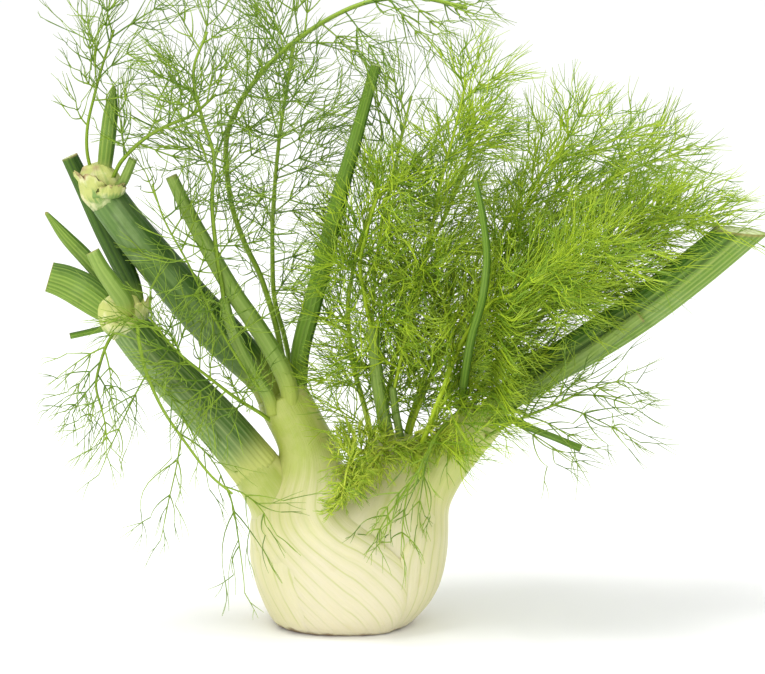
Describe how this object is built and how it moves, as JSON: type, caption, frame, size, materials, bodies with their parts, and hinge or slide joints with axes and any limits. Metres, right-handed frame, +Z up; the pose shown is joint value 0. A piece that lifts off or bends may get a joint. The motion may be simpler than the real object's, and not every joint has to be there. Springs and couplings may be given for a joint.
{
  "type": "fennel bulb",
  "caption": "Fresh fennel bulb standing on its trimmed base, with ribbed leaf bases, cut stalks spread in a fan and feathery thread-like fronds.",
  "frame": {"origin": "middle of the trimmed base, on the surface that the bulb stands on", "axes": "+Z up, +X along the fan of stalks towards the long cut stalk, +Y away from the bulb's front"},
  "size_m": [0.365, 0.1463, 0.343],
  "materials": {
    "leaf_base_cream": "pale cream leaf bases with thin yellow-green ribs",
    "joint_pale": "pale yellow-green joint, slightly glossy",
    "petiole_green": "light green, smooth with fine lengthwise lines",
    "stalk_green": "blue-green to dark green with pale lengthwise streaks",
    "frond_green": "bright yellow-green threads"
  },
  "bodies": {
    "root": {"bulb": "leaf_base_cream", "frond_front_hanging": "frond_green", "frond_heart_back": "frond_green", "frond_heart_front": "frond_green", "frond_heart_left": "frond_green", "frond_heart_tall": "frond_green", "frond_heart_tuft": "frond_green", "frond_left_arch": "frond_green", "frond_left_slim": "frond_green", "frond_left_upright": "frond_green", "frond_low_hanging": "frond_green", "frond_low_left": "frond_green", "frond_mass_back": "frond_green", "frond_mass_front": "frond_green", "frond_mass_low": "frond_green", "frond_mass_middle": "frond_green", "frond_mass_right": "frond_green", "frond_over_stalks": "frond_green", "frond_right_hanging": "frond_green", "frond_tall_left": "frond_green", "frond_tall_side": "frond_green", "joint_left_low": "joint_pale", "joint_left_tall": "joint_pale", "stalk_centre": "stalk_green", "stalk_left_low": "stalk_green", "stalk_left_petiole": "petiole_green", "stalk_left_slim": "petiole_green", "stalk_left_tall": "stalk_green", "stalk_right": "stalk_green", "stalk_right_petiole": "petiole_green", "stalk_right_slim": "stalk_green", "stalk_right_twig": "petiole_green", "stem_heart": "petiole_green", "stem_heart_slim": "petiole_green", "stub_low_back": "stalk_green", "stub_low_broad": "stalk_green", "stub_low_front": "petiole_green", "stub_low_leafy": "stalk_green", "stub_low_side": "petiole_green", "stub_tall_side": "petiole_green", "stub_tall_upright": "stalk_green"}
  },
  "joints": []
}
